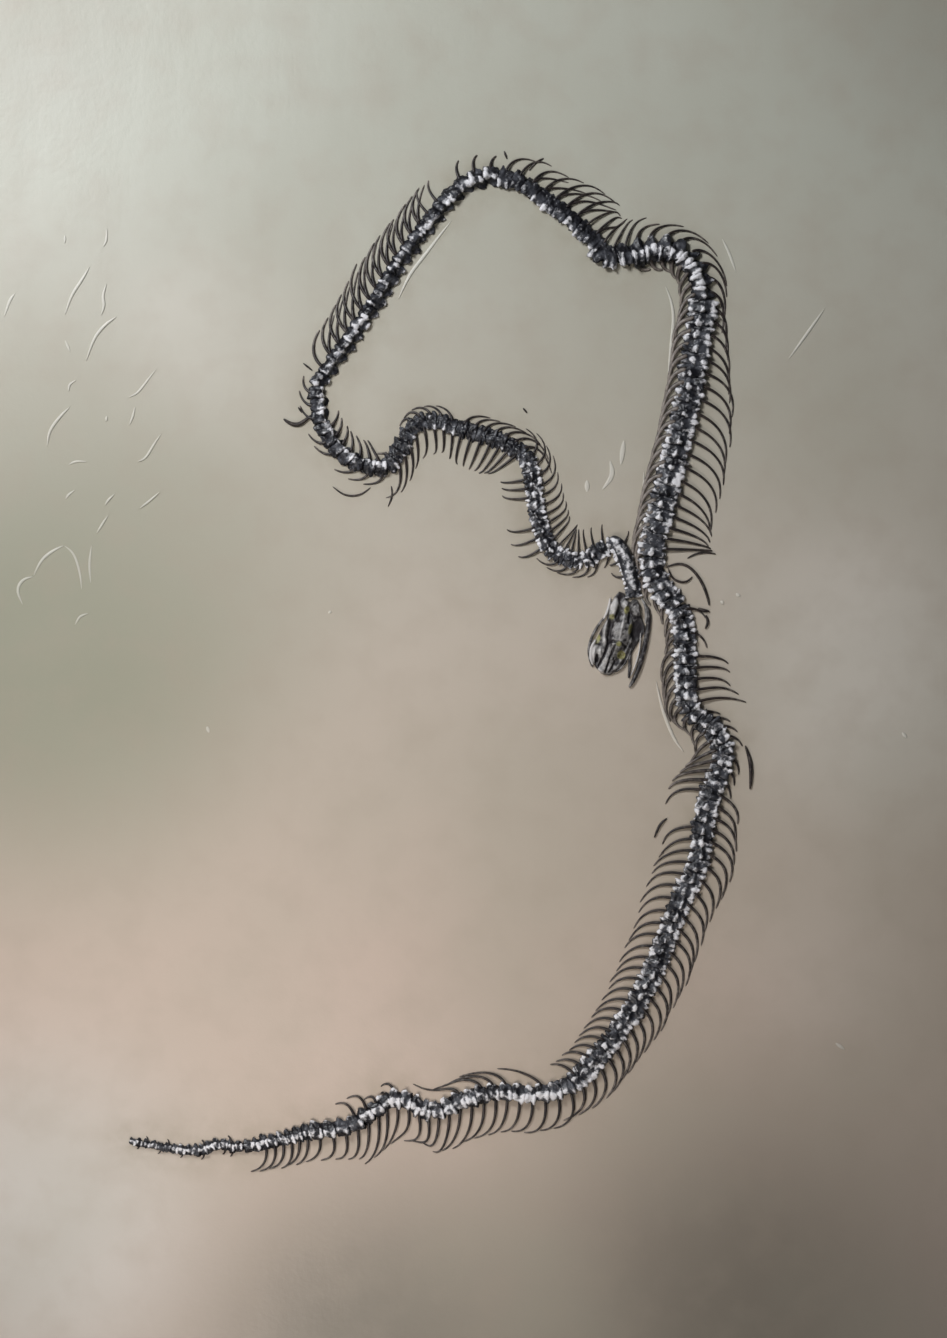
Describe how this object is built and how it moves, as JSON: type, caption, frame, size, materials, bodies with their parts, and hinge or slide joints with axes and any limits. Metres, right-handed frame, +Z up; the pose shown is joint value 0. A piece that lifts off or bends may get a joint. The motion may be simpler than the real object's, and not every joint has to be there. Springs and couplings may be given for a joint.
{
  "type": "fossil snake skeleton in a slab",
  "caption": "Fossil skeleton of a slender constrictor snake, lying in loose curves on the face of a pale slab, as in a museum.",
  "frame": {"origin": "middle of the slab's underside, which lies on the floor", "axes": "+Z up out of the slab's face, +Y towards the slab's top edge along its long side, +X towards its right edge"},
  "size_m": [0.43, 0.6, 0.0245],
  "materials": {
    "slab_resin": "satin, pale beige, with soft brushed relief",
    "fossil_bone": "glossy, dark brown-black, with paler worn crests",
    "skull_bone": "satin to glossy, dark grey-brown, with pale edges"
  },
  "bodies": {
    "root": {"slab": "slab_resin", "cranium": "skull_bone", "mandible_left": "skull_bone", "mandible_right": "skull_bone", "pterygoid_left": "skull_bone", "neck": "fossil_bone", "trunk_01": "fossil_bone", "trunk_02": "fossil_bone", "trunk_03": "fossil_bone", "trunk_04": "fossil_bone", "trunk_05": "fossil_bone", "trunk_06": "fossil_bone", "trunk_07": "fossil_bone", "trunk_08": "fossil_bone", "trunk_09": "fossil_bone", "trunk_10": "fossil_bone", "trunk_11": "fossil_bone", "trunk_12": "fossil_bone", "trunk_13": "fossil_bone", "trunk_14": "fossil_bone", "trunk_15": "fossil_bone", "trunk_16": "fossil_bone", "trunk_17": "fossil_bone", "trunk_18": "fossil_bone", "trunk_19": "fossil_bone", "trunk_20": "fossil_bone", "trunk_21": "fossil_bone", "trunk_22": "fossil_bone", "trunk_23": "fossil_bone", "trunk_24": "fossil_bone", "trunk_25": "fossil_bone", "tail_01": "fossil_bone", "tail_02": "fossil_bone", "crossed_bar": "fossil_bone", "crossed_rib_arch": "fossil_bone", "crossed_rib_long": "fossil_bone", "crossed_rib_low": "fossil_bone", "crossed_splint": "fossil_bone", "loose_rib_bend": "fossil_bone", "loose_rib_hook": "fossil_bone", "loose_rib_long": "fossil_bone", "loose_rib_outer": "fossil_bone", "splinter_1": "fossil_bone", "splinter_2": "fossil_bone", "splinter_3": "fossil_bone", "splinter_4": "fossil_bone", "splinter_5": "fossil_bone", "splinter_6": "fossil_bone"}
  },
  "joints": []
}
